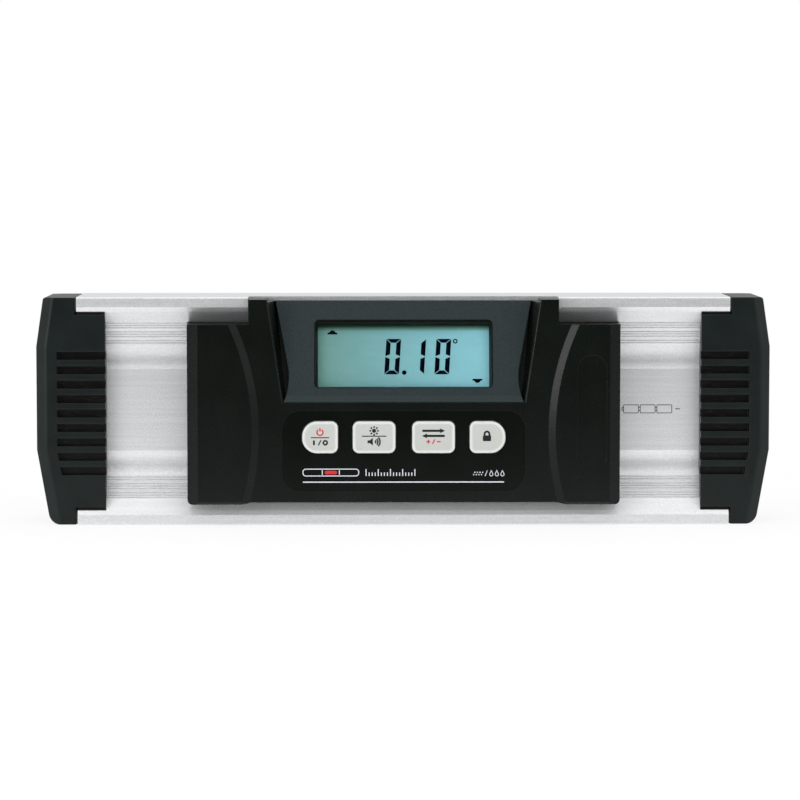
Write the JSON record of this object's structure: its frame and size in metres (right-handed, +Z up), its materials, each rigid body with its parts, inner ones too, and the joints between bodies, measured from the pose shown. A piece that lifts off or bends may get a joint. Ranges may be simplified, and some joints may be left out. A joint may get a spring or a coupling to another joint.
{
  "type": "digital spirit level",
  "caption": "Digital spirit level: aluminium I-profile with a magnetic V-groove base, moulded end caps, and a front housing with a tilted display, a keypad and a screw-in battery cap.",
  "frame": {"origin": "on the plane of the base, half way along the V groove", "axes": "+X along the level to the user's right, -Y towards the user, +Z up from the base"},
  "size_m": [0.225, 0.0371, 0.07],
  "materials": {
    "blasted_aluminium": "bead-blasted and clear anodised",
    "cap_plastic": "fine matt grain",
    "housing_plastic": "fine satin grain",
    "bezel_satin": "satin",
    "overlay_gloss": "gloss",
    "key_plastic": "satin",
    "window_clear": "clear",
    "lcd_glass": "reflective liquid crystal",
    "backlight_white": "diffusing",
    "seal_rubber": "matt",
    "screw_steel": "zinc plated",
    "magnet_nickel": "nickel plated",
    "contact_brass": "tin flashed",
    "board_green": "solder mask",
    "component_black": "moulded",
    "sensor_metal": "tinned can",
    "tube_plastic": "moulded",
    "cell_jacket": "printed jacket"
  },
  "bodies": {
    "level_body": {"body_profile": "blasted_aluminium", "left_end_cap": "cap_plastic", "right_end_cap": "cap_plastic", "left_end_gasket": "seal_rubber", "right_end_gasket": "seal_rubber", "left_cap_screws": "screw_steel", "right_cap_screws": "screw_steel", "base_magnets": "magnet_nickel", "front_cover": "housing_plastic", "cover_gasket": "seal_rubber", "cover_screws": "screw_steel", "display_bezel": "bezel_satin", "display_window": "window_clear", "lcd_panel": "lcd_glass", "lcd_backlight": "backlight_white", "lcd_clamps": "housing_plastic", "lcd_pins": "contact_brass", "keypad_overlay": "overlay_gloss", "keypad_mat": "seal_rubber", "key_board": "board_green", "key_board_screws": "screw_steel", "main_board": "board_green", "main_board_screws": "screw_steel", "board_connector": "component_black", "tilt_sensor": "sensor_metal", "processor_chip": "component_black", "buzzer": "component_black", "battery_tube": "tube_plastic", "battery_cells": "cell_jacket", "battery_positive_contact": "contact_brass", "battery_negative_strip": "contact_brass"},
    "power_key": {"power_key": "key_plastic"},
    "light_key": {"light_key": "key_plastic"},
    "mode_key": {"mode_key": "key_plastic"},
    "hold_key": {"hold_key": "key_plastic"},
    "battery_cap_seal": {"battery_cap_seal": "seal_rubber"},
    "battery_cap": {"battery_cap": "cap_plastic", "battery_contact_spring": "contact_brass"}
  },
  "joints": [
    {"name": "power_key_press", "type": "slide", "parent": "level_body", "child": "power_key", "axis": [0, 1, 0], "range_m": [0, 0.0008], "stiffness_N_per_m": 800, "springref_m": -0.0006},
    {"name": "light_key_press", "type": "slide", "parent": "level_body", "child": "light_key", "axis": [0, 1, 0], "range_m": [0, 0.0008], "stiffness_N_per_m": 800, "springref_m": -0.0006},
    {"name": "mode_key_press", "type": "slide", "parent": "level_body", "child": "mode_key", "axis": [0, 1, 0], "range_m": [0, 0.0008], "stiffness_N_per_m": 800, "springref_m": -0.0006},
    {"name": "hold_key_press", "type": "slide", "parent": "level_body", "child": "hold_key", "axis": [0, 1, 0], "range_m": [0, 0.0008], "stiffness_N_per_m": 800, "springref_m": -0.0006},
    {"name": "battery_cap_lift", "type": "slide", "parent": "level_body", "child": "battery_cap_seal", "axis": [1, 0, 0], "range_m": [0, 0.0045]},
    {"name": "battery_cap_turn", "type": "hinge", "parent": "battery_cap_seal", "child": "battery_cap", "pos_m": [0.107, 0, 0.035], "axis": [1, 0, 0], "range_deg": [0, 1080]}
  ],
  "couplings": [
    {"joint": "battery_cap_turn", "follows": "battery_cap_lift", "rad_per_m": 4188.7}
  ]
}
